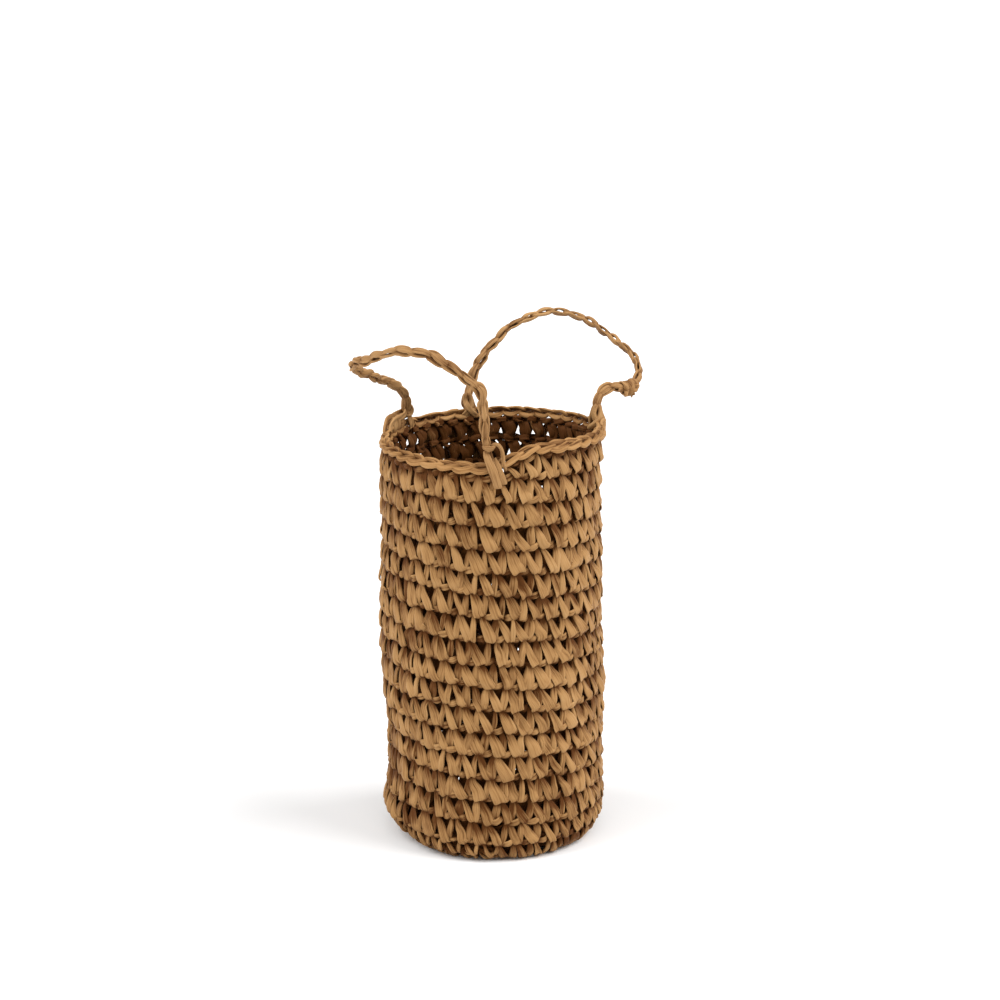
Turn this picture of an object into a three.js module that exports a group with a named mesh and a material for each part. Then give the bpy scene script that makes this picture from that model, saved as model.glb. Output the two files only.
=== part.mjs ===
// Crocheted paper-raffia bag for one wine bottle: an open tube of stitch rounds on a
// rounded base, a chain along the top edge, and two loop handles of chain cord.
// Millimetres, +Z up. The origin is the middle of the underside, and the front faces -Y.
import * as THREE from 'three';

// The bag.
const BAG_DIAMETER = 112;     // over the outside of the stitches
const BAG_HEIGHT = 210;       // floor to the highest part of the rim
const FABRIC = 6.5;           // thickness of the crocheted fabric
const EDGE_RADIUS = 9;        // turn from the base into the wall
const WALL_ROUNDS = 17;       // rounds of stitches up the wall
const BASE_ROUNDS = 4;        // flat rounds in the base, counted from the middle
const STITCHES = 38;          // stitches in one round of the wall
const STITCH_RELIEF = 1.5;    // how far a stitch's foot stands out past its top
const STITCH_TUCK = 0.9;      // how far the foot's lower edge tucks back in
const FOOT_LEVEL = 0.22;      // where the foot stands out most, as a share of the round's height
const START_HEIGHT = 1.5;     // height of the wall's first stitch, where the spiral starts
const LAST_EASE = 1.6;        // how much lower the last round's stitches get along it
const END_STITCHES = 2;       // stitches that end the spiral and shorten much more
const END_DROP = 0.68;        // how much shorter the very last one is, as a share of a round
const RIM_HEIGHT = 4;         // the chain along the top edge

// The handles.
const CORD = 5.2;             // thickness of the chain cord
const KNOT = 7;               // thickness of the knot at each end of a handle
const TAIL_KNOT = 8;          // the knot that ties off the right handle's cord
const TAIL_KNOT_AT = 0.155;   // its place along that cord, from the right knot
const LEFT_REACH = 44;        // how far each loop leans out from the line between its knots
const LEFT_RISE = 50;         // how far each loop stands up from that line
const RIGHT_REACH = 49;
const RIGHT_RISE = 41;
const FRONT_KNOT_ANGLE = -92; // places of the knots round the rim, in degrees from +X
const LEFT_KNOT_ANGLE = 147;
const RIGHT_KNOT_ANGLE = 13;
const BACK_KNOT_ANGLE = 104;

const GAP = 0.3;              // clearance between pieces that touch

// Each handle's route from knot to knot: shares of half the distance between its knots
// (positive toward the end that lies clockwise from above), of its reach and of its rise.
const LEFT_ROUTE = [
  [-1, 0.05, 0.26],
  [-1.02, 0.08, 0.53],
  [-1.01, 0.14, 0.67],
  [-0.95, 0.25, 0.78],
  [-0.86, 0.41, 0.89],
  [-0.72, 0.58, 0.98],
  [-0.54, 0.76, 1.01],
  [-0.33, 0.89, 0.95],
  [-0.05, 0.98, 0.84],
  [0.22, 1, 0.75],
  [0.39, 0.94, 0.68],
  [0.52, 0.78, 0.59],
  [0.65, 0.54, 0.49],
  [0.77, 0.31, 0.39],
  [0.86, 0.13, 0.28],
  [0.93, 0.01, 0.16],
];
const RIGHT_ROUTE = [
  [0.98, 0.05, 0.15],
  [0.99, 0.14, 0.23],
  [1.02, 0.23, 0.27],
  [1.06, 0.33, 0.25],
  [1.11, 0.44, 0.22],
  [1.15, 0.55, 0.24],
  [1.15, 0.67, 0.29],
  [1.09, 0.78, 0.37],
  [0.98, 0.87, 0.47],
  [0.84, 0.94, 0.55],
  [0.62, 0.99, 0.65],
  [0.43, 1.01, 0.75],
  [0.07, 1.02, 0.91],
  [-0.34, 0.91, 1],
  [-0.67, 0.67, 0.9],
  [-0.84, 0.49, 0.75],
  [-0.96, 0.32, 0.55],
  [-1.01, 0.17, 0.35],
  [-1.02, 0.06, 0.15],
];

// Worked out from the sizes above.
const outer = BAG_DIAMETER / 2;
const inner = outer - FABRIC;
const wallBottom = EDGE_RADIUS + GAP;
const wallTop = BAG_HEIGHT - RIM_HEIGHT - GAP;
const endShare = END_STITCHES / STITCHES;
const roundPitch = (wallTop + LAST_EASE - wallBottom - START_HEIGHT) / (WALL_ROUNDS - endShare);
const roundHeight = roundPitch - GAP;
const rimRadius = outer - FABRIC / 2;
const knotLift = Math.max(KNOT, CORD) / 2 + GAP;
const slotAngle = THREE.MathUtils.degToRad(FRONT_KNOT_ANGLE) + (KNOT / 2 + 2 * GAP) / rimRadius;

const raffia = new THREE.MeshStandardMaterial({ color: 0xb98d5a, roughness: 0.85, metalness: 0 });
const rimRaffia = new THREE.MeshStandardMaterial({ color: 0xc29763, roughness: 0.8, metalness: 0 });
const cordRaffia = new THREE.MeshStandardMaterial({ color: 0xb48a58, roughness: 0.82, metalness: 0 });
const knotRaffia = new THREE.MeshStandardMaterial({ color: 0xbe9461, roughness: 0.85, metalness: 0 });

const bag = new THREE.Group();
const leftHandle = new THREE.Group();
const rightHandle = new THREE.Group();
bag.add(leftHandle, rightHandle);

function addPiece(parent, name, geometry, material) {
  const mesh = new THREE.Mesh(geometry, material);
  mesh.name = name;
  parent.add(mesh);
  return mesh;
}

// A ring or disc turned about Z from an outline of [radius, height] points.
function turned(outline, closed) {
  const points = outline.map(([radius, height]) => new THREE.Vector2(radius, height));
  if (closed) points.push(points[0].clone());
  return new THREE.LatheGeometry(points, STITCHES).rotateX(Math.PI / 2);
}

// Points on a quarter circle from straight down round to straight out, about the edge's centre.
function edgeArc(radius, steps) {
  return Array.from({ length: steps + 1 }, (_, step) => {
    const angle = (step / steps) * (Math.PI / 2);
    return [
      outer - EDGE_RADIUS + radius * Math.sin(angle),
      EDGE_RADIUS - radius * Math.cos(angle),
    ];
  });
}

// How far round the spiral an angle lies, from its start, clockwise from above.
function turnShare(angle) {
  return THREE.MathUtils.euclideanModulo(slotAngle - angle, 2 * Math.PI) / (2 * Math.PI);
}

// A round climbs by its own pitch in one turn, so it ends level with the next round's start.
function roundTop(round, share) {
  return wallBottom + START_HEIGHT + (round + share) * roundPitch;
}

// The top of the last round, which comes down again over the stitches that end the spiral.
function wallEdge(share) {
  const eased = LAST_EASE * Math.min(1, share / (1 - endShare));
  const past = Math.max(0, share - 1 + endShare) / endShare;
  return roundTop(WALL_ROUNDS - 1, share) - eased - END_DROP * roundHeight * past;
}

function rimTop(angle) {
  return wallEdge(turnShare(angle)) + GAP + RIM_HEIGHT;
}

// A band with an outline of [radius, level] points: extruded straight, then wrapped once round
// the bag from the spiral's start, with its levels 0 and 1 at the heights of the two rules.
function spiralBand(outline, bottomAt, topAt) {
  const section = new THREE.Shape(outline.map(([radius, level]) => new THREE.Vector2(radius, level)));
  const band = new THREE.ExtrudeGeometry(section, { depth: 1, steps: STITCHES, bevelEnabled: false });
  const position = band.attributes.position;
  const slot = GAP / rimRadius;
  for (let i = 0; i < position.count; i += 1) {
    const radius = position.getX(i);
    const share = position.getZ(i);
    const angle = slotAngle - slot / 2 - share * (2 * Math.PI - slot);
    const height = THREE.MathUtils.lerp(bottomAt(share), topAt(share), position.getY(i));
    position.setXYZ(i, radius * Math.cos(angle), radius * Math.sin(angle), height);
  }
  return band;
}

function addBase() {
  const flatRadius = outer - EDGE_RADIUS;
  const pitch = flatRadius / BASE_ROUNDS;
  const dip = STITCH_RELIEF / 2;
  for (let round = 0; round < BASE_ROUNDS; round += 1) {
    const from = round * pitch;
    const to = from + pitch - GAP;
    const crown = (from + to) / 2;
    if (round === 0) {
      const disc = turned([[0, 0], [to, 0], [to, FABRIC - dip], [crown, FABRIC], [0, FABRIC]], false);
      addPiece(bag, 'base_centre', disc, raffia);
    } else {
      const ring = turned(
        [[from, 0], [to, 0], [to, FABRIC - dip], [crown, FABRIC], [from, FABRIC - dip]],
        true,
      );
      addPiece(bag, `base_round_${round + 1}`, ring, raffia);
    }
  }
  const outside = edgeArc(EDGE_RADIUS, 4);
  const inside = edgeArc(Math.max(EDGE_RADIUS - FABRIC, GAP), 2).reverse();
  addPiece(bag, 'base_edge', turned([...outside, ...inside], true), raffia);
}

// A round is one turn of V-shaped stitches, with their feet standing out over the round below.
function addWall() {
  const outline = [
    [inner, 0],
    [outer - STITCH_TUCK, 0],
    [outer, FOOT_LEVEL],
    [outer - STITCH_RELIEF, 1],
    [inner, 1],
  ];
  for (let round = 0; round < WALL_ROUNDS; round += 1) {
    const below = (share) => (round === 0 ? wallBottom : roundTop(round - 1, share) + GAP);
    const top = (share) => (round === WALL_ROUNDS - 1 ? wallEdge(share) : roundTop(round, share));
    const name = `wall_round_${String(round + 1).padStart(2, '0')}`;
    addPiece(bag, name, spiralBand(outline, below, top), raffia);
  }
}

// The chain is as wide as the fabric at the middle of its height and rounded over both edges.
function addRim() {
  const half = FABRIC / 2 - GAP;
  const shoulder = half - RIM_HEIGHT / 3;
  const outline = [
    [rimRadius - shoulder, 0],
    [rimRadius + shoulder, 0],
    [rimRadius + half, 1 / 3],
    [rimRadius + half, 2 / 3],
    [rimRadius + shoulder, 1],
    [rimRadius - shoulder, 1],
    [rimRadius - half, 2 / 3],
    [rimRadius - half, 1 / 3],
  ];
  const bottom = (share) => wallEdge(share) + GAP;
  const top = (share) => bottom(share) + RIM_HEIGHT;
  addPiece(bag, 'rim_chain', spiralBand(outline, bottom, top), rimRaffia);
}

// The centre that a handle's end turns about, over the rim at the given angle.
function knotCentre(degrees) {
  const angle = THREE.MathUtils.degToRad(degrees);
  return new THREE.Vector3(
    rimRadius * Math.cos(angle),
    rimRadius * Math.sin(angle),
    rimTop(angle) + knotLift,
  );
}

function addKnot(name, centre) {
  const ball = new THREE.SphereGeometry(KNOT / 2, 12, 8);
  addPiece(bag, name, ball.rotateX(Math.PI / 2), knotRaffia).position.copy(centre);
}

// Sets a handle's group on the line between its knots: X along it, Y outward and Z up.
function placeHandle(group, leftEnd, rightEnd) {
  const along = rightEnd.clone().sub(leftEnd);
  const half = along.length() / 2;
  along.normalize();
  const up = new THREE.Vector3(0, 0, 1).addScaledVector(along, -along.z).normalize();
  const outward = new THREE.Vector3().crossVectors(up, along);
  group.position.copy(leftEnd).add(rightEnd).multiplyScalar(0.5);
  group.quaternion.setFromRotationMatrix(new THREE.Matrix4().makeBasis(along, outward, up));
  return half;
}

// The cord's centreline, which starts and ends just clear of the knots.
function handleCurve(route, half, reach, rise) {
  const points = route.map(([a, o, r]) => new THREE.Vector3(a * half, o * reach, r * rise));
  const endFrom = (neighbour) => {
    const knot = new THREE.Vector3(Math.sign(neighbour.x) * half, 0, 0);
    const toward = neighbour.clone().sub(knot).normalize();
    return knot.addScaledVector(toward, KNOT / 2 + GAP);
  };
  points.unshift(endFrom(points[0]));
  points.push(endFrom(points[points.length - 1]));
  return new THREE.CatmullRomCurve3(points, false, 'centripetal');
}

// The stretch of a curve between two shares of its length.
function stretch(curve, from, to) {
  const count = Math.ceil((curve.getLength() * (to - from)) / CORD) + 1;
  const points = Array.from({ length: count }, (_, i) => (
    curve.getPointAt(THREE.MathUtils.lerp(from, to, i / (count - 1)))
  ));
  return new THREE.CatmullRomCurve3(points, false, 'centripetal');
}

function cord(curve) {
  const section = new THREE.Shape().absarc(0, 0, CORD / 2, 0, 2 * Math.PI, false);
  const steps = Math.ceil(curve.getLength() / CORD);
  return new THREE.ExtrudeGeometry(section, { steps, extrudePath: curve, curveSegments: 4 });
}

function addHandles() {
  const front = knotCentre(FRONT_KNOT_ANGLE);
  const left = knotCentre(LEFT_KNOT_ANGLE);
  const right = knotCentre(RIGHT_KNOT_ANGLE);
  const back = knotCentre(BACK_KNOT_ANGLE);
  addKnot('knot_front', front);
  addKnot('knot_left', left);
  addKnot('knot_right', right);
  addKnot('knot_back', back);

  const leftHalf = placeHandle(leftHandle, front, left);
  const leftCurve = handleCurve(LEFT_ROUTE, leftHalf, LEFT_REACH, LEFT_RISE);
  addPiece(leftHandle, 'handle_left', cord(leftCurve), cordRaffia);

  const rightHalf = placeHandle(rightHandle, back, right);
  const rightCurve = handleCurve(RIGHT_ROUTE, rightHalf, RIGHT_REACH, RIGHT_RISE);
  const clear = (TAIL_KNOT / 2 + GAP) / rightCurve.getLength();
  const shortCord = cord(stretch(rightCurve, 0, TAIL_KNOT_AT - clear));
  const longCord = cord(stretch(rightCurve, TAIL_KNOT_AT + clear, 1));
  const tail = new THREE.SphereGeometry(TAIL_KNOT / 2, 12, 8);
  addPiece(rightHandle, 'handle_right_short', shortCord, cordRaffia);
  addPiece(rightHandle, 'handle_right_long', longCord, cordRaffia);
  addPiece(rightHandle, 'tail_knot', tail, knotRaffia).position.copy(
    rightCurve.getPointAt(TAIL_KNOT_AT),
  );
}

addBase();
addWall();
addRim();
addHandles();

export default bag;
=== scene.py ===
import math

import bpy
import numpy as np
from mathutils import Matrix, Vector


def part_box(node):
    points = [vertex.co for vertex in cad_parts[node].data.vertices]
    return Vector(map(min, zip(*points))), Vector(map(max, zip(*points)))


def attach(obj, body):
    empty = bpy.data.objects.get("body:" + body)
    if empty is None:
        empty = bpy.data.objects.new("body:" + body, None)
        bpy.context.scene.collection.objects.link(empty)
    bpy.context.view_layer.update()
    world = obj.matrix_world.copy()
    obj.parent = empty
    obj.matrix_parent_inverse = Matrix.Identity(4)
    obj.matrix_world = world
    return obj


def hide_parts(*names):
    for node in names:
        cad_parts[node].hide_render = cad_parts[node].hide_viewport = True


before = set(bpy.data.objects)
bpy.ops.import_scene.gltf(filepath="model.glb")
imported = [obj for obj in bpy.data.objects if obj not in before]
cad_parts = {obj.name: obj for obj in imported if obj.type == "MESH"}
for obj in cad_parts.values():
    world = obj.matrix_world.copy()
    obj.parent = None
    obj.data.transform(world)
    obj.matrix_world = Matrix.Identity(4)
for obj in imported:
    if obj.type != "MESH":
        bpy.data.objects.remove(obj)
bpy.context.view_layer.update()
mm = 0.001
print("frame loaded:", len(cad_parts), "nodes")


# sizes shared with the CAD, in mm and degrees
bag = {
    "outer": 56.0,
    "height": 210.0,
    "fabric": 6.5,
    "edge": 9.0,  # turn from the base into the wall
    "hole": 1.2,  # least radius, where the base's first ring closes
    "baseStitches": (6, 12, 20, 28),
    "rounds": 17,
    "start": 1.5,  # first stitch of the wall
    "ease": 1.6,  # how much lower the last round gets
    "endStitches": 2,
    "endDrop": 0.68,
    "stitches": 38,
    "rim": 4.0,
    "gap": 0.3,
    "knot": 7.0,
    "frontKnot": -92.0,
    "leftKnot": 147.0,
    "rightKnot": 13.0,
    "backKnot": 104.0,
}
midRadius = bag["outer"] - bag["fabric"] / 2
flatRadius = bag["outer"] - bag["edge"]
arcRadius = bag["edge"] - bag["fabric"] / 2
arcLength = arcRadius * math.pi / 2
wallFoot = flatRadius + arcLength  # distance along the fabric where the wall starts
wallBottom = bag["edge"] + bag["gap"]
wallTop = bag["height"] - bag["rim"] - bag["gap"]
endShare = bag["endStitches"] / bag["stitches"]
roundPitch = (wallTop + bag["ease"] - wallBottom - bag["start"]) / (bag["rounds"] - endShare)
slotAngle = math.radians(bag["frontKnot"]) + (bag["knot"] / 2 + 2 * bag["gap"]) / midRadius


def clamp(values):
    return np.clip(values, 0, 1)


def roundTop(rnd, share):
    return wallBottom + bag["start"] + (rnd + share) * roundPitch


def wallEdge(share):
    eased = bag["ease"] * clamp(share / (1 - endShare))
    past = clamp((share - 1 + endShare) / endShare)
    return roundTop(bag["rounds"] - 1, share) - eased - bag["endDrop"] * (roundPitch - bag["gap"]) * past


def turnShare(angle):
    return (slotAngle - angle) % (2 * math.pi) / (2 * math.pi)


def unit(v):
    return v / np.maximum(np.linalg.norm(v, axis=-1, keepdims=True), 1e-9)


# distance run along a line of points
def runAlong(points):
    return np.concatenate([[0], np.cumsum(np.linalg.norm(np.diff(points, axis=0), axis=1))])


# soft random curve of about one swing per knot
def smoothNoise(rng, count, knots):
    grid = rng.normal(0, 1, knots + 3)
    x = np.linspace(0, knots, count)
    i = np.minimum(x.astype(int), knots)
    f = x - i
    f = f * f * (3 - 2 * f)
    return grid[i] * (1 - f) + grid[i + 1] * f


# centripetal spline through rows of [x, y, z, more values], steps points for each stretch
def spline(keys, steps):
    p = np.vstack([2 * keys[0] - keys[1], keys, 2 * keys[-1] - keys[-2]])
    d = np.sqrt(np.maximum(np.linalg.norm(np.diff(p[:, :3], axis=0), axis=1), 1e-6))[:, None]
    p0, p1, p2, p3 = p[:-3], p[1:-2], p[2:-1], p[3:]
    d0, d1, d2 = d[:-2], d[1:-1], d[2:]
    m1 = ((p1 - p0) / d0 - (p2 - p0) / (d0 + d1) + (p2 - p1) / d1) * d1
    m2 = ((p2 - p1) / d1 - (p3 - p1) / (d1 + d2) + (p3 - p2) / d2) * d1
    f = (np.arange(steps) / steps)[None, :, None]
    a, b, c, e = p1[:, None], m1[:, None], p2[:, None], m2[:, None]
    out = (2 * f**3 - 3 * f**2 + 1) * a + (f**3 - 2 * f**2 + f) * b
    out += (3 * f**2 - 2 * f**3) * c + (f**3 - f**2) * e
    return np.vstack([out.reshape(-1, keys.shape[1]), keys[-1:]])


# paper ribbon: a crumpled flat strip, closed all round
ribbon = {
    "tracks": np.array([-1.0, -0.78, -0.4, 0.0, 0.4, 0.78, 1.0]),
    "edgeThick": 0.22,  # share left at the two edges
    "flatness": 0.96,
    "crown": 0.07,  # rise of the middle, share of the width
    "sway": 0.17,  # tilt, cup and wave across its width, mm
    "cup": 1.6,
    "wave": (3.2, 1.5),  # radians to an edge, and how far it wanders
    "crease": 0.5,  # depth of a long fold, mm
    "creaseMost": 1.4,
    "creaseSide": 0.5,  # its way off the middle and its width, shares of half the ribbon
    "creaseWidth": 0.22,
    "foldShade": 0.2,  # painted shade taken along the fold, as tint
    "edgeHighlightAndWear": 0.07,  # painted highlight added at the edges, partly the lighter worn paper there
    "edgeFrom": 0.9,
    "foldRun": 8.0,  # length over which these change, mm
    "foldSamples": 40,
    "area": 3.7,  # width times thickness, which stays about the same
    "thin": 0.8,
    "thick": 1.7,
    "leastWidth": 0.25,
    "fullWidth": 3.5,  # a narrower ribbon folds less, mm
}


# keys: x, y, z (mm), across vector, width, tint and any more columns
# returns the points of the rings, and what goes with each ring
def sweepRibbon(keys, steps, rng):
    keys = np.array(keys, float)
    flips = np.sign(np.sum(keys[1:, 3:6] * keys[:-1, 3:6], axis=1))
    keys[1:, 3:6] *= np.cumprod(np.where(flips == 0, 1, flips))[:, None]
    rings = spline(keys, steps)
    centre, width = rings[:, :3], np.maximum(rings[:, 6], ribbon["leastWidth"])
    along = unit(np.gradient(centre, axis=0))
    across = rings[:, 3:6] - np.sum(rings[:, 3:6] * along, axis=1, keepdims=True) * along
    across = unit(across)
    face = np.cross(along, across)
    run = runAlong(centre)
    thick = np.clip(ribbon["area"] / width, ribbon["thin"], ribbon["thick"])
    tracks = ribbon["tracks"]
    knots = max(2, int(run[-1] / ribbon["foldRun"]))
    grid = np.linspace(0, run[-1], ribbon["foldSamples"] * knots)
    drift = [np.interp(run, grid, smoothNoise(rng, len(grid), knots))[:, None] for _ in range(6)]
    lift = drift[0] * tracks + drift[1] * (1 - ribbon["cup"] * tracks**2)
    lift = lift + drift[2] * np.sin(ribbon["wave"][0] * tracks + ribbon["wave"][1] * drift[3])
    offMiddle = (tracks - ribbon["creaseSide"] * drift[5]) / ribbon["creaseWidth"]
    fold = np.clip(drift[4], 0, ribbon["creaseMost"]) * np.exp(-offMiddle ** 2)
    soft = np.minimum(width / ribbon["fullWidth"], 1)[:, None]
    lift = (ribbon["sway"] * lift - ribbon["crease"] * fold) * soft
    lift = lift + ribbon["crown"] * (1 - tracks**2) * width[:, None]
    section = np.sqrt(1 - ribbon["flatness"] * tracks**4)
    half = thick[:, None] / 2 * (ribbon["edgeThick"] + (1 - ribbon["edgeThick"]) * section)
    sides = []
    for sign, order in ((1, slice(None)), (-1, slice(None, None, -1))):
        offset = centre[:, None] + across[:, None] * (tracks * width[:, None] / 2)[:, :, None]
        offset = offset + face[:, None] * (lift + sign * half)[:, :, None]
        sides.append(offset[:, order])
    # painted highlight along the edges and painted shade along the fold, added to the tint
    paintedEdgeAndFold = ribbon["edgeHighlightAndWear"] * (np.abs(tracks) > ribbon["edgeFrom"]) - ribbon["foldShade"] * fold
    tint = rings[:, 7:8] + np.concatenate([paintedEdgeAndFold, paintedEdgeAndFold[:, ::-1]], axis=1)
    return {"points": np.concatenate(sides, axis=1), "centre": centre, "run": run, "width": width,
            "tint": tint, "more": rings[:, 8:]}


def addObject(name, data):
    obj = bpy.data.objects.new(name, data)
    bpy.context.scene.collection.objects.link(obj)
    return obj


# maps: the shader's runs with the ribbon, and the bake's lays strips of it side by side, end caps last
maps = {
    "shaderScale": 0.1,  # for 1 mm
    "capScale": 0.01,
    "cellShape": 5.0,  # a cell's height for its width
    "sideEdge": 0.06,  # clear edges of a cell
    "endEdge": 0.02,
    "capSize": 0.4,
}


# joins swept ribbons into one mesh object with both maps
def ribbonObject(name, sweeps, material, stripRings):
    ringSize = 2 * len(ribbon["tracks"])
    acrossAt = np.concatenate([ribbon["tracks"], ribbon["tracks"][::-1]]) * 0.5 + 0.5
    strips = sum(math.ceil((len(s["run"]) - 1) / stripRings) for s in sweeps)
    columns = max(2, math.ceil(math.sqrt(strips * maps["cellShape"])))
    lines = math.ceil((strips + 1) / columns)
    verts, faces, shaderMap, bakeMap, tintOf = [], [], [], [], []
    sideEdge, endEdge, capSize = maps["sideEdge"], maps["endEdge"], maps["capSize"]
    base, strip = 0, 0
    for sweep in sweeps:
        count = len(sweep["run"])
        verts.append(sweep["points"].reshape(-1, 3))
        tintOf.append(sweep["tint"].ravel())
        i, j = np.meshgrid(np.arange(count - 1), np.arange(ringSize), indexing="ij")
        i, j = i.ravel(), j.ravel()
        nextJ = (j + 1) % ringSize
        ringOf = np.stack([i, i + 1, i + 1, i], 1)
        sideOf = np.stack([j, j, nextJ, nextJ], 1)
        faces.append(ringOf * ringSize + sideOf + base)
        shaderMap.append(np.stack([
            (acrossAt[sideOf] - 0.5) * sweep["width"][ringOf] * maps["shaderScale"],
            sweep["run"][ringOf] * maps["shaderScale"],
        ], -1).reshape(-1, 2))
        cell = strip + i // stripRings
        sideStep = np.stack([j, j, j + 1, j + 1], 1) / ringSize
        ringStep = (ringOf - (i // stripRings * stripRings)[:, None]) / stripRings
        bakeMap.append(np.stack([
            ((cell % columns)[:, None] + sideEdge + (1 - 2 * sideEdge) * sideStep) / columns,
            ((cell // columns)[:, None] + endEdge + (1 - 2 * endEdge) * ringStep) / lines,
        ], -1).reshape(-1, 2))
        strip += math.ceil((count - 1) / stripRings)
        base += count * ringSize
    verts = np.concatenate(verts) * mm
    quads = np.concatenate(faces)
    caps, capMap = [], []
    base = 0
    for n, sweep in enumerate(sweeps):
        last = base + (len(sweep["run"]) - 1) * ringSize
        for end, ring in enumerate((range(base, base + ringSize), range(last + ringSize - 1, last - 1, -1))):
            caps.append(list(ring))
            turn = np.arange(ringSize) / ringSize * 2 * math.pi
            spot = (2 * n + end + 0.5) / (2 * len(sweeps))
            capMap.append(np.stack([
                (columns - 1 + 0.5 + capSize * np.cos(turn)) / columns,
                (lines - 1 + spot + capSize / (2 * len(sweeps)) * np.sin(turn)) / lines,
            ], -1))
        base += len(sweep["run"]) * ringSize
    mesh = bpy.data.meshes.new(name)
    loops = np.concatenate([quads.ravel(), np.array(caps).ravel()])
    sizes = np.concatenate([np.full(len(quads), 4), np.full(len(caps), ringSize)])
    mesh.vertices.add(len(verts))
    mesh.vertices.foreach_set("co", verts.ravel())
    mesh.loops.add(len(loops))
    mesh.loops.foreach_set("vertex_index", loops)
    mesh.polygons.add(len(sizes))
    mesh.polygons.foreach_set("loop_start", np.concatenate([[0], np.cumsum(sizes)[:-1]]))
    mesh.polygons.foreach_set("use_smooth", np.ones(len(sizes), bool))
    capFlat = np.concatenate(capMap)
    mesh.uv_layers.new(name="ribbon").data.foreach_set(
        "uv", np.concatenate([*shaderMap, capFlat * maps["capScale"]]).ravel())
    mesh.uv_layers.new(name="OFBake").data.foreach_set("uv", np.concatenate([*bakeMap, capFlat]).ravel())
    mesh.uv_layers["ribbon"].active_render = True
    # random tint together with painted shade and painted highlight, per point
    tint = mesh.attributes.new("tintAndPaintedShade", "FLOAT", "POINT")
    tint.data.foreach_set("value", np.concatenate(tintOf))
    mesh.update(calc_edges=True)
    mesh.validate()
    mesh.materials.append(material)
    return addObject(name, mesh)


# shader groups, built once and placed in each raffia material
def groupOf(name, inputs, outputs):
    tree = bpy.data.node_groups.new(name, "ShaderNodeTree")
    for way, sockets in (("INPUT", inputs), ("OUTPUT", outputs)):
        for label, kind in sockets.items():
            tree.interface.new_socket(label, in_out=way, socket_type="NodeSocket" + kind)
    return tree, tree.nodes.new("NodeGroupInput"), tree.nodes.new("NodeGroupOutput")


def addNode(tree, kind, settings=None, values=None):
    node = tree.nodes.new(kind)
    for key, value in (settings or {}).items():
        setattr(node, key, value)
    for key, value in (values or {}).items():
        node.inputs[key].default_value = value
    return node


# joins sockets: node, output, node, input
def wire(tree, *joins):
    for source, value, target, socket in joins:
        tree.links.new(source.outputs[value], target.inputs[socket])


def mathNode(tree, operation, a, b=None, clamp=False):
    node = addNode(tree, "ShaderNodeMath", {"operation": operation, "use_clamp": clamp})
    for slot, value in enumerate((a, b)):
        if value is None:
            continue
        if isinstance(value, (int, float)):
            node.inputs[slot].default_value = value
        else:
            tree.links.new(value, node.inputs[slot])
    return node.outputs[0]


# long paper fibres: streaks that run with the ribbon, and small creases with painted shade along them
fibres = {
    "creaseSharp": 14.0,
    # painted shade: how much darker the colour gets along the small creases
    "creasePaintedShade": 0.17,
    "streakHeight": 0.3,  # beside the creases' own
}


def fibreGroup():
    tree, given, result = groupOf("paperFibre", {"Fineness": "Float", "Length": "Float"},
                                  {"Streak": "Float", "Height": "Float"})
    link = tree.links.new
    place = addNode(tree, "ShaderNodeUVMap", {"uv_map": "ribbon"})
    split = addNode(tree, "ShaderNodeSeparateXYZ")
    wire(tree, (place, "UV", split, 0))
    wide = mathNode(tree, "MULTIPLY", split.outputs["X"], given.outputs["Fineness"])
    long = mathNode(tree, "MULTIPLY", split.outputs["Y"], given.outputs["Length"])
    joined = addNode(tree, "ShaderNodeCombineXYZ")
    link(wide, joined.inputs["X"])
    link(long, joined.inputs["Y"])
    streak = addNode(tree, "ShaderNodeTexNoise", {"noise_dimensions": "2D"},
                     {"Scale": 2.0, "Detail": 3.0, "Roughness": 0.62})
    spread = addNode(tree, "ShaderNodeMapRange", None,
                     {"From Min": 0.3, "From Max": 0.7, "To Min": 0.4, "To Max": 0.72})
    crease = addNode(tree, "ShaderNodeTexNoise", {"noise_dimensions": "2D"},
                     {"Scale": 0.4, "Detail": 1.0, "Roughness": 0.5, "Distortion": 0.5})
    wire(tree, (joined, 0, streak, "Vector"), (streak, "Fac", spread, "Value"), (joined, 0, crease, "Vector"))
    ridge = mathNode(tree, "ABSOLUTE", mathNode(tree, "SUBTRACT", crease.outputs["Fac"], 0.5))
    away = mathNode(tree, "MULTIPLY", ridge, fibres["creaseSharp"], clamp=True)
    # painted shade: the colour darkens along the small creases
    paintedCreaseLines = mathNode(tree, "MULTIPLY", mathNode(tree, "SUBTRACT", away, 1.0), fibres["creasePaintedShade"])
    raised = mathNode(tree, "MULTIPLY", spread.outputs[0], fibres["streakHeight"])
    height = mathNode(tree, "ADD", raised, away)
    link(mathNode(tree, "ADD", spread.outputs[0], paintedCreaseLines), result.inputs["Streak"])
    link(height, result.inputs["Height"])
    return tree
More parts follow.
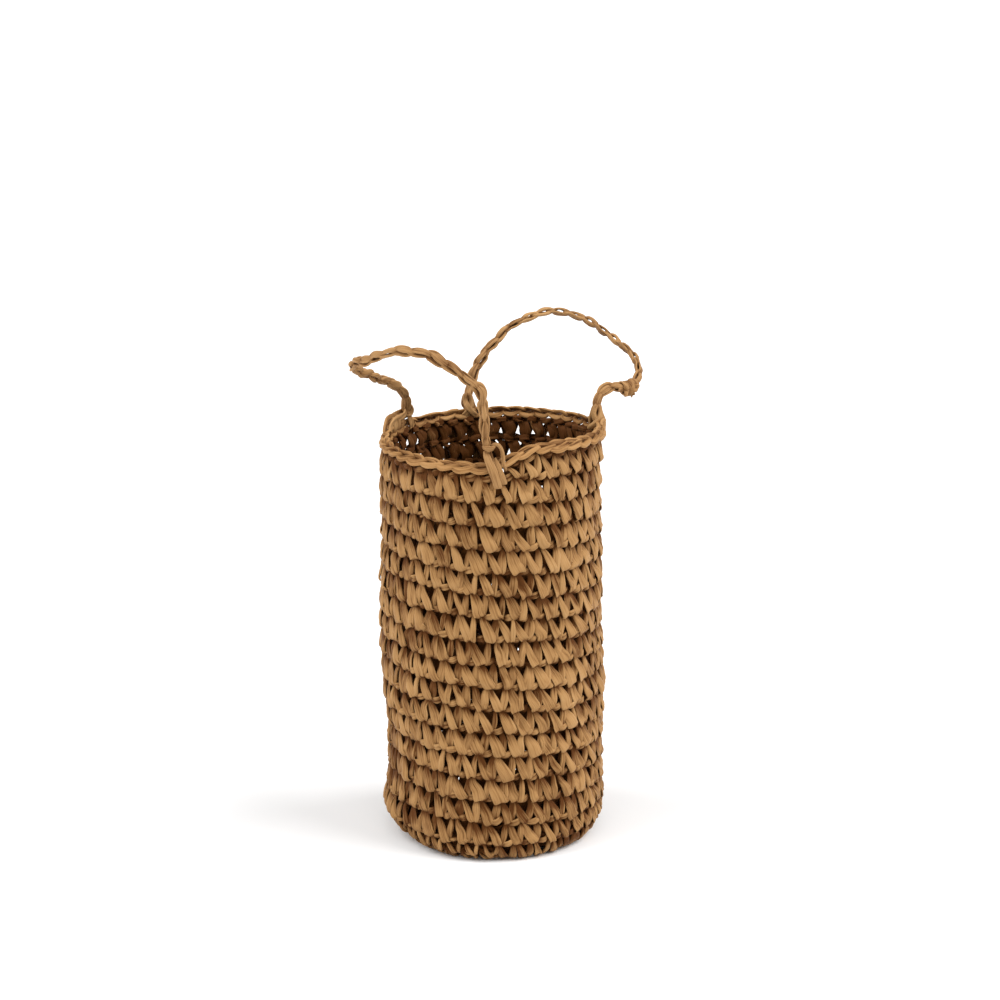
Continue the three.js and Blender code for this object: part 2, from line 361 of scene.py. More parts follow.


# colour of the ribbon from its streaks, its stitch's tint with the painted shade and highlight it carries,
# and slow patches of ageing
def toneGroup():
    tree, given, result = groupOf(
        "raffiaTone",
        {"Dark": "Color", "Body": "Color", "Light": "Color", "Streak": "Float", "Patchiness": "Float"},
        {"Colour": "Color", "Dryness": "Float"})
    link = tree.links.new
    tint = addNode(tree, "ShaderNodeAttribute", {"attribute_name": "tintAndPaintedShade"})
    place = addNode(tree, "ShaderNodeTexCoord")
    patch = addNode(tree, "ShaderNodeTexNoise", None, {"Scale": 55.0, "Detail": 2.0, "Roughness": 0.5})
    wire(tree, (place, "Object", patch, "Vector"))
    uneven = mathNode(tree, "SUBTRACT", patch.outputs["Fac"], 0.5)
    worn = mathNode(tree, "MULTIPLY", uneven, given.outputs["Patchiness"])
    tinted = mathNode(tree, "ADD", given.outputs["Streak"], tint.outputs["Fac"])
    shade = mathNode(tree, "ADD", tinted, worn)
    low = addNode(tree, "ShaderNodeMix", {"data_type": "RGBA"})
    high = addNode(tree, "ShaderNodeMix", {"data_type": "RGBA"})
    link(mathNode(tree, "MULTIPLY", shade, 2.0, clamp=True), low.inputs["Factor"])
    upper = mathNode(tree, "MULTIPLY", mathNode(tree, "SUBTRACT", shade, 0.5), 2.0, clamp=True)
    link(upper, high.inputs["Factor"])
    dry = addNode(tree, "ShaderNodeMapRange", None,
                  {"From Min": 0.0, "From Max": 1.0, "To Min": 0.72, "To Max": 0.5})
    link(shade, dry.inputs["Value"])
    wire(tree, (given, "Dark", low, "A"), (given, "Body", low, "B"), (low, "Result", high, "A"),
         (given, "Light", high, "B"), (high, "Result", result, "Colour"), (dry, 0, result, "Dryness"))
    return tree


paperFibre = fibreGroup()
raffiaTone = toneGroup()


def raffiaMaterial(look):
    mat = bpy.data.materials.new(look["name"])
    mat.use_nodes = True
    tree = mat.node_tree
    tree.nodes.clear()
    fibre = addNode(tree, "ShaderNodeGroup", {"node_tree": paperFibre},
                    {"Fineness": look["fineness"], "Length": look["fibreLength"]})
    tone = addNode(tree, "ShaderNodeGroup", {"node_tree": raffiaTone},
                   {"Dark": look["dark"], "Body": look["body"], "Light": look["light"],
                    "Patchiness": look["patchiness"]})
    bump = addNode(tree, "ShaderNodeBump", None, {"Strength": look["bump"], "Distance": look["bumpDepth"]})
    shader = addNode(tree, "ShaderNodeBsdfPrincipled", None,
                     {"Specular IOR Level": look["gloss"], "Sheen Weight": look["sheen"],
                      "Sheen Roughness": look["sheenRoughness"]})
    output = addNode(tree, "ShaderNodeOutputMaterial")
    wire(tree, (fibre, "Streak", tone, "Streak"), (tone, "Colour", shader, "Base Color"),
         (tone, "Dryness", shader, "Roughness"), (fibre, "Height", bump, "Height"),
         (bump, "Normal", shader, "Normal"), (shader, "BSDF", output, "Surface"))
    return mat


raffiaLook = {
    "name": "raffiaStitches",
    # darkest tone, which the painted shade runs toward
    "dark": (0.09, 0.028, 0.003, 1),
    "body": (0.355, 0.188, 0.067, 1),
    "light": (0.462, 0.266, 0.109, 1),
    "patchiness": 0.5,
    "fineness": 9.0,
    "fibreLength": 0.5,
    "bump": 0.28,
    "bumpDepth": 0.00035,  # m
    "gloss": 0.14,
    "sheen": 0.02,
    "sheenRoughness": 0.5,
}
rimLook = {**raffiaLook, "name": "raffiaRim", "body": (0.365, 0.188, 0.066, 1)}
cordLook = {**raffiaLook, "name": "raffiaCord", "body": (0.355, 0.19, 0.073, 1), "fineness": 11.0}
raffia = raffiaMaterial(raffiaLook)
rimRaffia = raffiaMaterial(rimLook)
cordRaffia = raffiaMaterial(cordLook)
print("materials ready")


# fabric: turn share, distance along the fabric and height off its middle, to a point and its axes
def onFabric(share, s, w):
    angle = slotAngle - 2 * math.pi * share
    s = np.maximum(s, bag["hole"])
    bend = np.clip((s - flatRadius) / arcRadius, 0, math.pi / 2)
    radius = np.minimum(s, flatRadius) + arcRadius * np.sin(bend)
    height = bag["edge"] - arcRadius * np.cos(bend) + np.maximum(s - wallFoot, 0)
    normal = np.stack([np.sin(bend) * np.cos(angle), np.sin(bend) * np.sin(angle), -np.cos(bend)], -1)
    climb = np.stack([np.cos(bend) * np.cos(angle), np.cos(bend) * np.sin(angle), np.sin(bend)], -1)
    right = np.stack([-np.sin(angle), np.cos(angle), np.zeros_like(angle)], -1)
    point = np.stack([radius * np.cos(angle), radius * np.sin(angle), height], -1)
    return point + normal * w[..., None], right, climb, normal


# single crochet, worked to the left: right, up (shares of a stitch), out (mm), width, across vector
stitch = {
    "keys": np.array([
        [0.42, 0.74, -2.4, 3.4, 0.8, 0.5, 0],  # slanting down the back
        [0.06, 0.3, -3, 4.3, 0.9, 0.4, 0],
        [0.1, -0.02, -1.8, 2.6, 1, 0, 0],  # through the hole below
        [0.22, -0.14, 0.5, 2.7, 1, 0, 0],
        [0.29, -0.07, 1.9, 2.8, 1, -0.1, 0],  # right leg up the front
        [0.32, 0.2, 2.4, 3.6, 1, -0.1, 0.1],
        [0.35, 0.5, 2, 3.4, 1, -0.15, 0.2],
        [0.37, 0.79, 0.7, 2.1, 1, -0.1, 0.3],
        [0.28, 0.95, -0.6, 1.5, 0.4, 0.1, 0.9],  # over the top
        [-0.2, 0.97, -0.6, 1.6, 0.2, 0.1, 0.9],
        [-0.43, 0.86, 0.4, 1.9, 0.95, 0.2, 0.1],  # left leg down the front
        [-0.3, 0.6, 1.7, 3.5, 0.94, 0.3, -0.1],
        [-0.11, 0.28, 2.6, 4.7, 0.94, 0.34, -0.1],
        [0.06, 0, 3, 5, 0.94, 0.34, 0],
        [0.13, -0.115, 2.6, 4.6, 0.94, 0.34, 0],  # folded under
        [0.15, -0.15, 1, 4, 0.94, 0.34, 0],
        [0.1, 0, -1.2, 3, 1, 0.2, 0],
        [-0.16, 0.32, -2.6, 4.3, 0.9, -0.4, 0],  # slanting up the back, the other way
        [-0.02, 0.72, -2, 3.5, 0.9, -0.4, 0],
        [0.1, 0.8, -0.2, 2.2, 1, 0.2, 0],  # over into the top chain
        [0.36, 1.02, 0.2, 2.3, -0.3, 0.9, 0],
        [0.06, 0.93, 2.3, 3.4, -0.35, 0.93, 0.2],
        [-0.3, 0.85, 0.3, 2.6, -0.35, 0.93, -0.1],
        [-0.62, 0.92, -0.5, 2.2, 0, 1, 0],
        [-0.75, 1, -2.5, 2.8, 0, 1, 0.2],
        [-0.2, 0.97, -2.9, 2.8, 0, 1, 0.1],
        [-0.3, 0.88, -2.9, 2.4, 0.3, 0.9, 0],
    ]),
    "rightLeg": slice(4, 9),
    "leftLeg": slice(10, 15),
    "legPull": np.linspace(0.15, 1.0, 5),  # how the leg follows its top
    "bar": slice(20, 23),
    "lastChain": slice(19, 26),  # the last round's chain lies lower, under the rim
    "lastDrop": 0.1,
    "lastBar": slice(20, 22),
    "lastIn": 0.9,
    "steps": 3,
    "seed": 11,
    "shift": 0.05,  # how unevenly the stitches stand, in shares of a stitch
    "lean": 0.09,
    "drop": 0.04,
    "depth": 0.25,  # mm
    "barDepth": 0.5,
    "widths": 0.17,
    "leastWidth": 0.45,  # share left where the round is low
    "jitter": (0.025, 0.018, 0.18),
    "backFrom": -1.0,  # the back is more uneven
    "backJitter": 2.2,
    "tints": 0.075,
    "ownTints": 0.5,  # share of it along one stitch
    "shadeFrom": 3.25,  # painted shade on what lies less far out than this, mm
    "shadeTo": -0.1,
    "shade": 1.06,
    "innerFrom": -2.7,  # and the inner face gets less of this painted shade
    "innerRun": 0.8,
    "innerLight": 0.45,
    "footShade": 0.18,  # painted shade, darker towards the foot, up to this height, mm
    "footHeight": 75.0,
    "onward": 0.5,  # each round sits half a stitch on from the round below
}
# how the soft wall leans away from a true cylinder, in mm
slump = {
    "skew": 1.7,  # the rounds hang lower on the right
    # up and down, then in and out: size, waves in a turn, change with height
    "wobbles": ((0.45, 3, 0.11), (0.3, 7, -0.17)),
    "waves": ((0.45, 2, 0.05), (0.35, 5, -0.09)),
    "waveGrowth": 5,  # full from a fifth of the wall's height
    "taper": 2.6,  # the left is drawn in between these heights, over these runs
    "taperTop": 78.0,
    "topRun": 20.0,
    "taperFoot": 14.0,
    "footRun": 14.0,
    "drawnRight": 1.7,  # the right is drawn in above this height
    "rightFoot": 70.0,
    "rightRun": 40.0,
    "lift": 6.5,  # the corner of the base is rounder on the left
    "liftTurn": 0.45,  # where, in radians from the side
    "liftRight": 1.9,  # and a little so on the right
    "rightTurn": 0.1,
    "liftUp": 0.6,  # how much of this is upward
    "push": 1.5,  # and fuller in front on the right
    "pushTurn": 1.05,
    "cornerRun": 15.0,
    "floorSoft": 1.0,  # strands this near the floor are pressed flat
}


# rounds from the middle of the base to the rim: name, stitches, and the edges along the fabric
def fabricRounds():
    def level(s):
        return lambda t: s + 0 * t

    def heightToRun(z):
        return wallFoot + z - bag["edge"]

    def turnEdge(t):
        return (flatRadius + heightToRun(roundTop(0, t))) / 2

    def topOf(n):
        if n == bag["rounds"] - 1:
            return lambda t: heightToRun(wallEdge(t))
        return lambda t: heightToRun(roundTop(n, t))

    rounds = []
    basePitch = flatRadius / len(bag["baseStitches"])
    for n, count in enumerate(bag["baseStitches"]):
        name = "base_centre" if n == 0 else f"base_round_{n + 1}"
        rounds.append((name, count, level(n * basePitch), level((n + 1) * basePitch)))
    rounds.append(("base_edge", bag["stitches"], level(flatRadius), turnEdge))
    edges = [turnEdge] + [topOf(n) for n in range(bag["rounds"])]
    for n, (low, high) in enumerate(zip(edges, edges[1:])):
        rounds.append((f"wall_round_{n + 1:02d}", bag["stitches"] + stitch["onward"], low, high))
    return rounds


# copies of one stitch's keys, each a little different
def unevenStitches(rng, n, isLast):
    keys = np.repeat(stitch["keys"][None], n, axis=0).copy()
    if isLast:
        keys[:, stitch["lastChain"], 1] -= stitch["lastDrop"]
        keys[:, stitch["lastBar"], 2] -= stitch["lastIn"]
    move = rng.normal(0, 1, (n, keys.shape[1], 3)) * np.array(stitch["jitter"])
    move *= np.where(keys[:, :, 2:3] < stitch["backFrom"], stitch["backJitter"], 1)

    def uneven(what):
        return rng.normal(0, stitch[what], (n, 1))

    move[:, :, 0] += uneven("shift")
    toTop = stitch["legPull"]
    for leg, pull in ((stitch["rightLeg"], toTop), (stitch["leftLeg"], toTop[::-1])):
        move[:, leg, 0] += uneven("lean") * pull
        move[:, leg, 1] += uneven("drop") * pull[::-1]
        move[:, leg, 2] += uneven("depth")
        keys[:, leg, 3] *= np.exp(uneven("widths"))
    move[:, stitch["bar"], 2] += uneven("barDepth")
    keys[:, :, :3] += move
    return keys


# places points on the soft wall, with the axes of the fabric there
def onSoftWall(turn, s, w):
    angle = slotAngle - 2 * math.pi * turn
    f = clamp((s - wallFoot) / (wallTop - wallBottom))
    middle = 4 * f * (1 - f)
    s = s - middle * slump["skew"] * np.cos(angle)
    for size, waves, change in slump["wobbles"]:
        s = s + middle * size * np.sin(waves * angle + change * s)
    point, right, climb, normal = onFabric(turn, s, w)
    wave = sum(size * np.sin(waves * angle + change * s) for size, waves, change in slump["waves"])
    z = point[:, 2]
    drawn = slump["taper"] * clamp((slump["taperTop"] - z) / slump["topRun"])
    drawn = drawn * clamp((z - slump["taperFoot"]) / slump["footRun"]) * clamp(-np.cos(angle))
    drawnRight = slump["drawnRight"] * clamp((z - slump["rightFoot"]) / slump["rightRun"])
    drawn = drawn + drawnRight * clamp(np.cos(angle))
    point = point + normal * (clamp(slump["waveGrowth"] * f) * wave - drawn)[:, None]
    corner = clamp(1 - np.abs(s - flatRadius - arcLength / 2) / slump["cornerRun"]) ** 2
    lift = corner * slump["lift"] * clamp(-np.cos(angle + slump["liftTurn"]))
    lift = lift + corner * slump["liftRight"] * clamp(np.cos(angle + slump["rightTurn"])) ** 2
    push = corner * slump["push"] * clamp(np.cos(angle + slump["pushTurn"])) ** 2
    outward = np.stack([np.cos(angle), np.sin(angle), 0 * angle], -1)
    point = point + outward * (push - lift)[:, None] + np.array([0, 0, slump["liftUp"]]) * lift[:, None]
    return point, right, climb, normal


# stitches are numbered along the round from its start; returns the keys of their ribbon
def stitchKeys(rng, count, first, last, lowEdge, topEdge, isLast):
    share = (np.arange(first, last) + 0.5) / count
    n, per = len(share), len(stitch["keys"])
    flat = unevenStitches(rng, n, isLast).reshape(n * per, -1)
    turn = np.repeat(share, per) - flat[:, 0] / count
    lower, upper = lowEdge(turn), topEdge(turn)
    point, right, climb, normal = onSoftWall(turn, lower + flat[:, 1] * (upper - lower), flat[:, 2])
    across = right * flat[:, 4:5] + climb * flat[:, 5:6] + normal * flat[:, 6:7]
    width = flat[:, 3] * np.clip((upper - lower) / roundPitch, stitch["leastWidth"], 1.0)
    tint = np.repeat(rng.normal(0, stitch["tints"], n), per)
    tint = tint + rng.normal(0, stitch["tints"] * stitch["ownTints"], n * per)
    return np.hstack([point, across, width[:, None], tint[:, None], flat[:, 2:3], normal])


# share of the painted shade where a strand lies this far out
def shadeShare(look, away):
    return clamp((look["shadeFrom"] - away) / (look["shadeFrom"] - look["shadeTo"]))


# painted shade: darker between the strands, by how far each point lies off the middle of the fabric, less so
# on its inner face, and darker towards the foot
def depthPaintedShade(sweep):
    reach = (sweep["points"] - sweep["centre"][:, None]) * sweep["more"][:, None, 1:4]
    depth = sweep["more"][:, :1] + reach.sum(axis=2)
    deep = shadeShare(stitch, depth)
    inner = clamp((stitch["innerFrom"] - depth) / stitch["innerRun"])
    # painted shade, darker towards the foot
    footPaintedShade = stitch["footShade"] * clamp(1 - sweep["points"][:, :, 2] / stitch["footHeight"])
    return sweep["tint"] - footPaintedShade - stitch["shade"] * deep * (1 - stitch["innerLight"] * inner)


def addRounds():
    rng = np.random.default_rng(stitch["seed"])
    made = []
    rounds = fabricRounds()
    stitchesSoFar = 0.0
    for name, count, low, high in rounds:
        first = math.ceil(stitchesSoFar - 0.5) - stitchesSoFar
        last = math.ceil(stitchesSoFar + count - 0.5) - stitchesSoFar
        keys = stitchKeys(rng, count, first, last, low, high, name == rounds[-1][0])
        stitchesSoFar += count
        sweep = sweepRibbon(keys, stitch["steps"], rng)
        # painted shade, carried in the tint
        sweep["tint"] = depthPaintedShade(sweep)
        z, soft = sweep["points"][:, :, 2], slump["floorSoft"]
        sweep["points"][:, :, 2] = np.where(z < soft, soft * np.exp(np.minimum(z / soft - 1, 0)), z)
        obj = ribbonObject(name + "_stitches", [sweep], raffia, len(stitch["keys"]) * stitch["steps"])
        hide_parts(name)
        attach(obj, "bag")
        made.append(obj)
    return made


roundPieces = addRounds()
print("rounds worked:", len(roundPieces), "pieces,", sum(len(o.data.polygons) for o in roundPieces), "faces")


# chain along the top edge: right (share of a link), up from its underside, out (mm), width, across vector
rimChain = {
    "keys": np.array([
        [0, 1.5, -0.2, 1.8, 0.2, 0.2, 1],
        [-0.1, 2.4, 0.9, 2.2, 0.3, 0.9, -0.3],
        [-0.5, 1.6, 2.1, 3, 0.2, 0.85, -0.5],  # front strand, its left end lower
        [-0.95, 0.9, 2.3, 3, 0.2, 0.85, -0.5],
        [-1.25, 1.2, 1.6, 2.3, 0.6, 0.7, -0.4],
        [-1.36, 1.9, 0.5, 1.9, 1, 0.2, 0],
        [-1.25, 2.8, -0.4, 2.1, 0.6, -0.6, 0.5],
        [-0.92, 3.3, -0.8, 2.6, -0.2, 0.8, -0.6],  # back strand, its left end higher
        [-0.5, 3.1, -0.4, 2.5, -0.2, 0.8, -0.6],
        [-0.12, 2.5, 0.1, 2, 0.2, 0.6, 0.6],
        [-0.04, 1.3, -0.6, 1.9, 0.2, 0.2, 1],
        [-0.35, 0.3, -1.6, 2.3, 0, 0.8, 0.6],  # bump underneath
        [-0.75, 0.4, -1.6, 2.3, 0, 0.8, 0.6],
    ]),
    "links": 38,
    "start": 0.1,  # shares of a link left free at the two ends
    "spare": 0.5,
    "steps": 4,
    "seed": 5,
    "jitter": (0.035, 0.18, 0.18),
    "widths": 0.12,
    "tints": 0.09,
    "shadeFrom": 3.0,  # painted shade on what lies nearer the middle line than this, mm
    "shadeTo": 0.2,
    "shade": 0.56,
}


# painted shade: darker towards the middle line that the strands wind round
def axisPaintedShade(sweep, look):
    away = np.linalg.norm(sweep["points"] - sweep["more"][:, None, :3], axis=2)
    return sweep["tint"] - look["shade"] * shadeShare(look, away)


# copies of one link's keys, each a little different
def unevenLinks(rng, chain, links):
    keys = np.repeat(chain["keys"][None], links, axis=0).copy()
    keys[:, :, :3] += rng.normal(0, 1, (links, len(chain["keys"]), 3)) * np.array(chain["jitter"])
    keys[:, :, 3] *= np.exp(rng.normal(0, chain["widths"], (links, 1)))
    return keys


# ribbon of a whole chain, from its links' keys and their places
def chainSweep(rng, chain, flat, point, axes, tint, middle):
    across = axes[0] * flat[:, 4:5] + axes[1] * flat[:, 5:6] + axes[2] * flat[:, 6:7]
    rows = np.hstack([point, across, flat[:, 3:4], tint[:, None], middle])
    sweep = sweepRibbon(rows, chain["steps"], rng)
    sweep["tint"] = axisPaintedShade(sweep, chain)
    return sweep


def addRim():
    rng = np.random.default_rng(rimChain["seed"])
    n, links = len(rimChain["keys"]), rimChain["links"]
    whole = links + rimChain["spare"]
    flat = unevenLinks(rng, rimChain, links).reshape(n * links, -1)
    turn = np.repeat((np.arange(links) + rimChain["start"]) / whole, n) - flat[:, 0] / whole
    s = wallFoot - bag["edge"] + wallEdge(clamp(turn)) + bag["gap"] + flat[:, 1]
    point, *axes = onFabric(turn, s, flat[:, 2])
    tint = np.repeat(rng.normal(0, rimChain["tints"], links), n)
    ridge = onFabric(turn, s - flat[:, 1] + bag["rim"] / 2, 0 * turn)[0]
    sweep = chainSweep(rng, rimChain, flat, point, axes, tint, ridge)
    obj = ribbonObject("rim_chain_links", [sweep], rimRaffia, n * rimChain["steps"])
    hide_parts("rim_chain")
    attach(obj, "bag")


addRim()
print("rim worked")


# knots: the cord's strands spread over the rim and into it
knots = {
    "steps": 5,
    "stripRings": 40,  # in one strip of the bake's map
    "widths": (0.9, 1.1),
    "tint": 0.03,
    "tints": 0.1,
    "shadeFrom": 3.3,  # painted shade: strands darken towards the knot's middle line, mm
    "shadeTo": 0.9,
    "shade": 0.5,
}


def knotCentre(which):
    angle = math.radians(bag[which])
    height = wallEdge(np.array(turnShare(angle))) + bag["gap"] + bag["rim"] + bag["knot"] / 2 + bag["gap"]
    return np.array([midRadius * math.cos(angle), midRadius * math.sin(angle), float(height)])


def knotAxes(which):
    angle = math.radians(bag[which])
    right = np.array([-math.sin(angle), math.cos(angle), 0.0])
    out = np.array([math.cos(angle), math.sin(angle), 0.0])
    return knotCentre(which), right, out, np.array([0, 0, 1.0])


# strand: right, up, out from the knot's middle (mm), width, lean of the across vector up and out
def strandKeys(which, points, rng):
    centre, right, out, up = knotAxes(which)
    tint = rng.normal(knots["tint"], knots["tints"])
    keys = []
    for u, z, w, width, lean, *turn in points:
        spot = centre + right * u + up * z + out * w
        across = right + up * lean + out * sum(turn)
        keys.append([*spot, *across, width * rng.uniform(*knots["widths"]), tint, *(centre + up * z)])
    return keys


def strandSweeps(which, strands, rng):
    lines = [strandKeys(which, points, rng) for points in strands]
    return [sweepRibbon(keys, knots["steps"], rng) for keys in lines]


# handles: chain cord on the routes of the CAD (shares of half span, reach and rise)
handles = {
    "link": 8.6,  # length of one chain link, mm
    # along (share of a link), side, face (mm), width, across vector
    "keys": np.array([
        [0, 0.3, -0.4, 1.7, 0, 1, 0.3],
        [0.14, 0.6, 0.5, 2.1, 0, 1, -0.2],
        [0.48, 1.25, 0.9, 2.8, 0, 0.9, -0.4],
        [0.92, 1.35, 0.5, 2.8, 0, 0.85, -0.5],
        [1.2, 0.8, -0.1, 2.2, 0.45, 0.85, -0.2],
        [1.3, 0, -0.5, 1.8, 1, 0, 0.2],
        [1.2, -0.8, -0.1, 2.2, 0.45, -0.85, 0.2],
        [0.92, -1.35, 0.5, 2.8, 0, 0.85, 0.5],
        [0.48, -1.25, 0.9, 2.8, 0, 0.9, 0.4],
        [0.14, -0.6, 0.5, 2.1, 0, 1, 0.2],
        [0.02, -0.3, -0.4, 1.7, 0, 1, -0.3],
        [0.3, -0.1, -1.3, 2.6, 0, 1, 0],
        [0.7, 0.15, -1.4, 2.6, 0, 1, 0],
    ]),
    "lastEnd": np.array([
        [1.05, 0.15, -0.9, 2.3, 0, 1, 0],
        [1.3, 0, 0, 1.6, 0, 1, 0],
    ]),
    "spare": 0.3,  # share of a link left free at the end
    "lineSteps": 24,
    "linePoints": 400,
    "steps": 4,
    "sway": ((0.35, 9.0, 0.0), (0.3, 5.3, 1.0)),  # size (mm), run and start, in points of the line
    "swayGrowth": 25,
    "jitter": (0.03, 0.16, 0.13),
    "widths": 0.13,
    "tints": 0.12,
    "into": 2.6,  # how far the cord runs on into its knots, mm
    "endSlim": 0.55,  # the first and last links are drawn tight
    "shadeFrom": 2.4,  # painted shade on what lies nearer the middle line than this, mm
    "shadeTo": 0.4,
    "shade": 0.45,
}
leftHandle = {
    "knots": ("frontKnot", "leftKnot"),
    "reach": 44.0,
    "rise": 50.0,
    "twist": (0.05, 0.1, 0.45, 0.6, 0.6, 0.5, 0.5, 1.2, 1.3, 1.4, 1.7),
    "seed": 21,
    # strap round the cord's foot
    "foot": [
        (-2.2, 4.9, 0.4, 1.8, 9), (-1.4, 4.8, 2.1, 2.3, 9), (0.4, 4.7, 2.9, 2.6, 9), (2, 4.8, 2.5, 2.4, 9),
        (2.6, 5.2, 1.3, 1.9, 9), (2.6, 5.3, -0.2, 1.7, 9), (2, 5.2, -1.5, 1.7, 9), (0.7, 4.9, -2.1, 1.8, 9),
        (-1.3, 4.4, -1.8, 1.9, 9), (-2.2, 4.5, -0.2, 1.6, 9),
    ],
    "route": [
        (-1, 0.05, 0.26), (-1.02, 0.08, 0.53), (-1.01, 0.14, 0.67), (-0.95, 0.25, 0.78), (-0.86, 0.41, 0.89),
        (-0.72, 0.58, 0.98), (-0.54, 0.76, 1.01), (-0.33, 0.89, 0.95), (-0.05, 0.98, 0.84), (0.22, 1, 0.75),
        (0.39, 0.94, 0.68), (0.52, 0.78, 0.59), (0.65, 0.54, 0.49), (0.77, 0.31, 0.39), (0.86, 0.13, 0.28),
        (0.93, 0.01, 0.16),
    ],
}
rightHandle = {
    "knots": ("backKnot", "rightKnot"),
    "reach": 49.0,
    "rise": 41.0,
    "twist": (0.1, 0.6, 0.7, 0.9, 0.75, 0.65, 0.5, 0.2, -0.2, -0.5, -0.7),
    "seed": 22,
    "route": [
        (0.98, 0.05, 0.15), (0.99, 0.14, 0.23), (1.02, 0.23, 0.27), (1.06, 0.33, 0.25), (1.11, 0.44, 0.22),
        (1.15, 0.55, 0.24), (1.15, 0.67, 0.29), (1.09, 0.78, 0.37), (0.98, 0.87, 0.47), (0.84, 0.94, 0.55),
        (0.62, 0.99, 0.65), (0.43, 1.01, 0.75), (0.07, 1.02, 0.91), (-0.34, 0.91, 1), (-0.67, 0.67, 0.9),
        (-0.84, 0.49, 0.75), (-0.96, 0.32, 0.55), (-1.01, 0.17, 0.35), (-1.02, 0.06, 0.15),
    ],
}


def handleLine(handle):
    a, b = (knotCentre(k) for k in handle["knots"])
    along = unit(b - a)
    half = np.linalg.norm(b - a) / 2
    up = unit(np.array([0, 0, 1.0]) - along * along[2])
    outward = np.cross(up, along)
    points = [(a + b) / 2 + along * p * half + outward * q * handle["reach"] + up * r * handle["rise"]
              for p, q, r in handle["route"]]
    start, end = (a, b) if handle["route"][0][0] < 0 else (b, a)
    clear = bag["knot"] / 2 + bag["gap"] - handles["into"]
    points = [start + unit(points[0] - start) * clear, *points, end + unit(points[-1] - end) * clear]
    line = spline(np.array(points), handles["lineSteps"])
    run = runAlong(line)
    even = np.linspace(0, run[-1], handles["linePoints"])
    return np.stack([np.interp(even, run, line[:, i]) for i in range(3)], 1), run[-1]


# carries a sideways direction along a line without letting it spin
def carriedFrame(line, first):
    along = unit(np.gradient(line, axis=0))
    side = np.empty_like(line)
    side[0] = unit(first - along[0] * np.dot(first, along[0]))
    for i in range(1, len(line)):
        side[i] = unit(side[i - 1] - along[i] * np.dot(side[i - 1], along[i]))
    return along, side, np.cross(along, side)


def chainCord(name, handle, nodes, body):
    rng = np.random.default_rng(handle["seed"])
    line, length = handleLine(handle)
    links = round(length / handles["link"])
    pitch = length / (links + handles["spare"])
    along, side, face = carriedFrame(line, np.array([1.0, 0.0, 0.0]))
    n = len(handles["keys"])
    keys = unevenLinks(rng, handles, links)
    keys[[0, -1], :, 1:3] *= handles["endSlim"]
    flat = np.vstack([keys.reshape(n * links, -1), handles["lastEnd"]])
    linkOf = np.append(np.repeat(np.arange(links), n), [links - 1] * len(handles["lastEnd"]))
    place = clamp((linkOf + flat[:, 0]) * pitch / length) * (len(line) - 1)

    def pick(values):
        return np.stack([np.interp(place, np.arange(len(line)), values[:, i]) for i in range(3)], 1)

    turn = np.interp(place, np.linspace(0, len(line) - 1, len(handle["twist"])), handle["twist"])
    cosT, sinT = np.cos(turn)[:, None], np.sin(turn)[:, None]
    sideAt = pick(side) * cosT + pick(face) * sinT
    faceAt = pick(face) * cosT - pick(side) * sinT
    sway = sum(size * np.sin(place / run + start) for size, run, start in handles["sway"])
    fromEnd = np.minimum(place, len(line) - 1 - place)
    sway = (sway * clamp(fromEnd / handles["swayGrowth"]))[:, None]
    point = pick(line) + sideAt * (flat[:, 1:2] + sway) + faceAt * flat[:, 2:3]
    tint = rng.normal(0, handles["tints"], links)[linkOf]
    sweep = chainSweep(rng, handles, flat, point, (pick(along), sideAt, faceAt), tint, pick(line))
    obj = ribbonObject(name, [sweep], cordRaffia, n * handles["steps"])
    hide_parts(*nodes)
    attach(obj, body)
    return obj, line, length


leftCord, leftLine, leftLength = chainCord("handle_left_cord", leftHandle, ["handle_left"], "left_loop")
rightCord, rightLine, rightLength = chainCord(
    "handle_right_cord", rightHandle, ["handle_right_short", "handle_right_long"], "right_loop")


# the strap that holds the left cord's foot at the front knot, and swings with it
def addFootStrands():
    rng = np.random.default_rng(leftHandle["seed"] + 1)
    sweeps = strandSweeps("frontKnot", [leftHandle["foot"]], rng)
    obj = ribbonObject("handle_left_strap", sweeps, cordRaffia, knots["stripRings"])
    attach(obj, "left_loop")
    return obj


leftStrap = addFootStrands()
print("handles worked: left", round(leftLength), "mm, right", round(rightLength), "mm")


def addKnot(name, which, knot):
    rng = np.random.default_rng(knot["seed"])
    sweeps = strandSweeps(which, knot["strands"], rng)
    for sweep in sweeps:
        # painted shade towards the knot's middle line, carried in the tint
        sweep["tint"] = axisPaintedShade(sweep, knots)
    obj = ribbonObject(name + "_wraps", sweeps, cordRaffia, knots["stripRings"])
    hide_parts(name)
    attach(obj, "bag")


